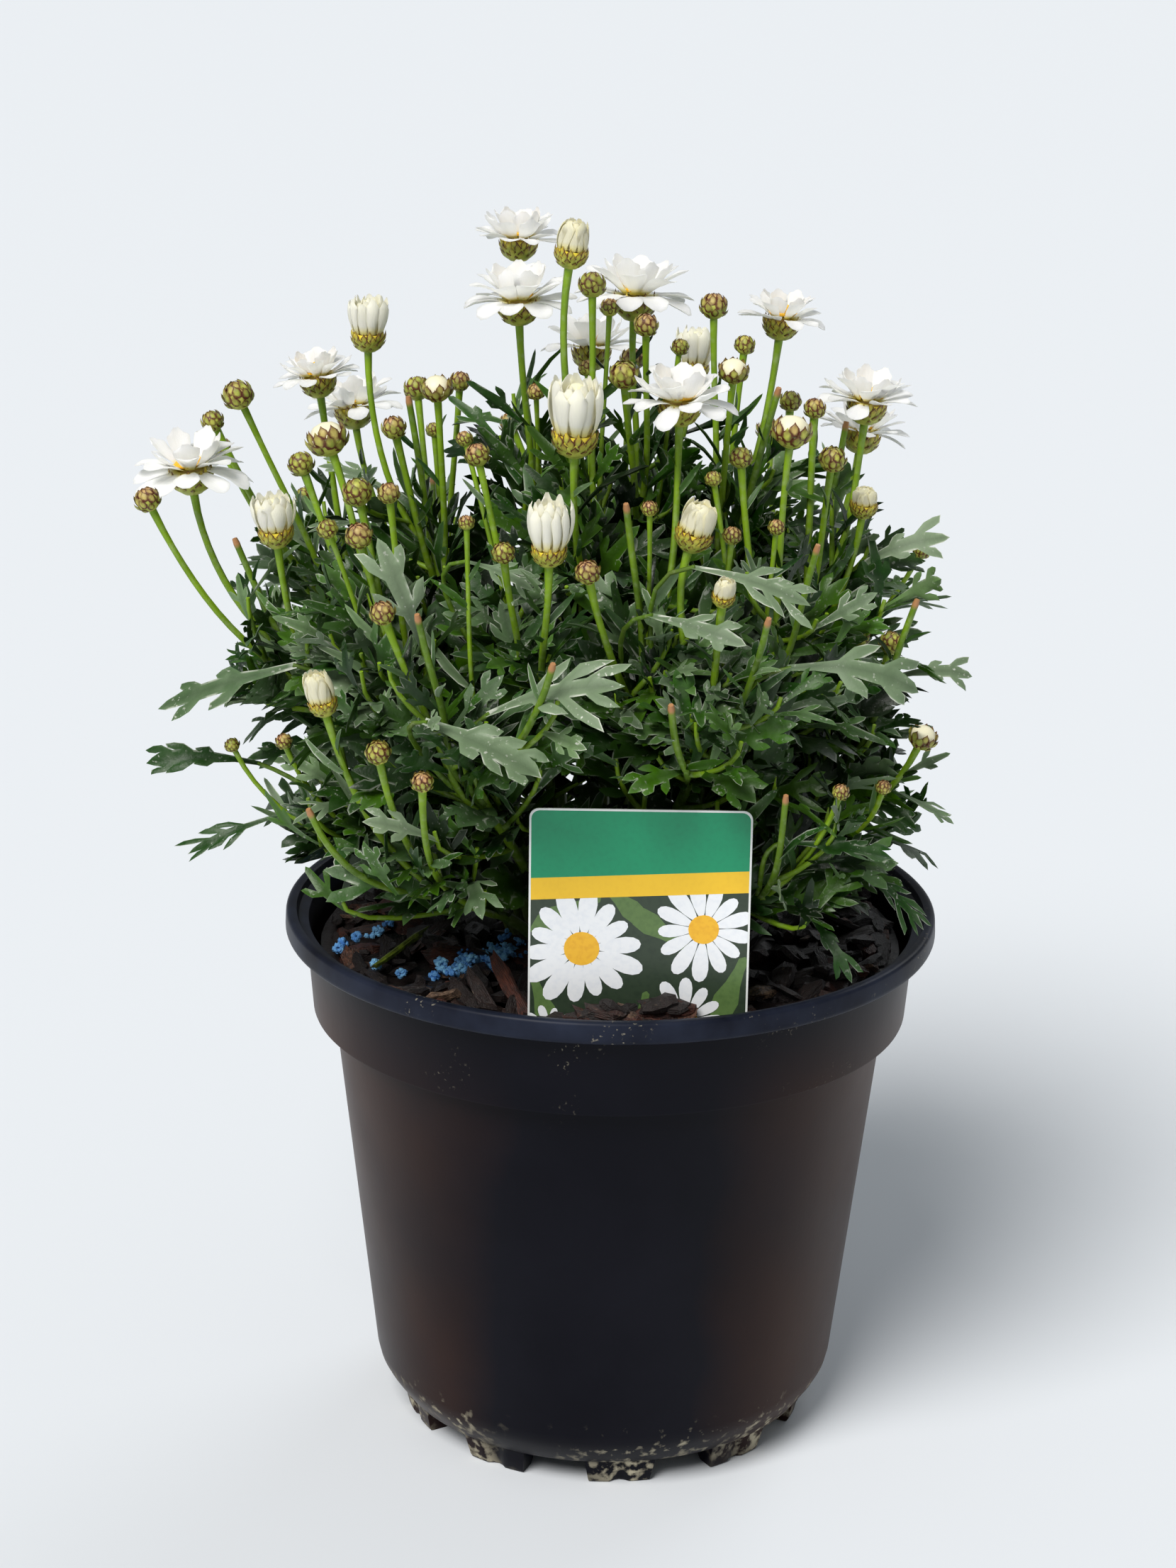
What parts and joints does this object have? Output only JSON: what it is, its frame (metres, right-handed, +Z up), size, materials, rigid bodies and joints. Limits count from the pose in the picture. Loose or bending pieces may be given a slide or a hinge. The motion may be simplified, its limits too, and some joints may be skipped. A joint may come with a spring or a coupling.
{
  "type": "potted marguerite daisy",
  "caption": "Bushy marguerite daisy in a black plastic nursery pot, with lobed leaves, buds, white blooms, bark mulch and a care label.",
  "frame": {"origin": "centre of the pot's underside, on the flat centre pad in the plane of its feet", "axes": "+Z up, -Y towards the front with the label, +X to the right seen from the front"},
  "size_m": [0.2368, 0.2284, 0.3619],
  "materials": {
    "pot_black": "satin black moulded plastic with pale scuffs at the foot",
    "compost": "crumbly dark compost",
    "bark": "rough dark bark chips, some reddish",
    "feed_blue": "grainy blue granules",
    "label": "printed card, green header over a yellow strip and a plain daisy pattern",
    "leaf_green": "downy grey-green leaves on yellow-green stems",
    "petal_white": "matt white petals",
    "petal_cream": "matt cream-white petals",
    "floret_yellow": "grainy yellow florets"
  },
  "bodies": {
    "root": {"pot": "pot_black", "compost": "compost", "bark_mulch": "bark", "feed_granules_1": "feed_blue", "feed_granules_2": "feed_blue", "care_label": "label", "leafy_stem_01": "leaf_green", "leafy_stem_02": "leaf_green", "leafy_stem_03": "leaf_green", "leafy_stem_04": "leaf_green", "leafy_stem_05": "leaf_green", "leafy_stem_06": "leaf_green", "leafy_stem_07": "leaf_green", "leafy_stem_08": "leaf_green", "leafy_stem_09": "leaf_green", "leafy_stem_10": "leaf_green", "leafy_stem_11": "leaf_green", "leafy_stem_12": "leaf_green", "leafy_stem_13": "leaf_green", "leafy_stem_14": "leaf_green", "leafy_stem_15": "leaf_green", "leafy_stem_16": "leaf_green", "leafy_stem_17": "leaf_green", "leafy_stem_18": "leaf_green", "leafy_stem_19": "leaf_green", "leafy_stem_20": "leaf_green", "leafy_stem_21": "leaf_green", "leafy_stem_22": "leaf_green", "bloom_01_petals": "petal_white", "bloom_01_disc": "floret_yellow", "bloom_02_petals": "petal_white", "bloom_02_disc": "floret_yellow", "bloom_03_petals": "petal_white", "bloom_03_disc": "floret_yellow", "bloom_04_petals": "petal_white", "bloom_04_disc": "floret_yellow", "bloom_05_petals": "petal_white", "bloom_05_disc": "floret_yellow", "bloom_06_petals": "petal_white", "bloom_06_disc": "floret_yellow", "bloom_07_petals": "petal_white", "bloom_07_disc": "floret_yellow", "bloom_08_petals": "petal_white", "bloom_08_disc": "floret_yellow", "bloom_09_petals": "petal_white", "bloom_09_disc": "floret_yellow", "bloom_10_petals": "petal_white", "bloom_10_disc": "floret_yellow", "bloom_11_petals": "petal_white", "bloom_11_disc": "floret_yellow", "opening_head_01": "petal_cream", "opening_head_02": "petal_cream", "opening_head_03": "petal_cream", "opening_head_04": "petal_cream", "opening_head_05": "petal_cream", "opening_head_06": "petal_cream", "opening_head_07": "petal_cream", "opening_head_08": "petal_cream", "opening_head_09": "petal_cream", "opening_head_10": "petal_cream"}
  },
  "joints": []
}
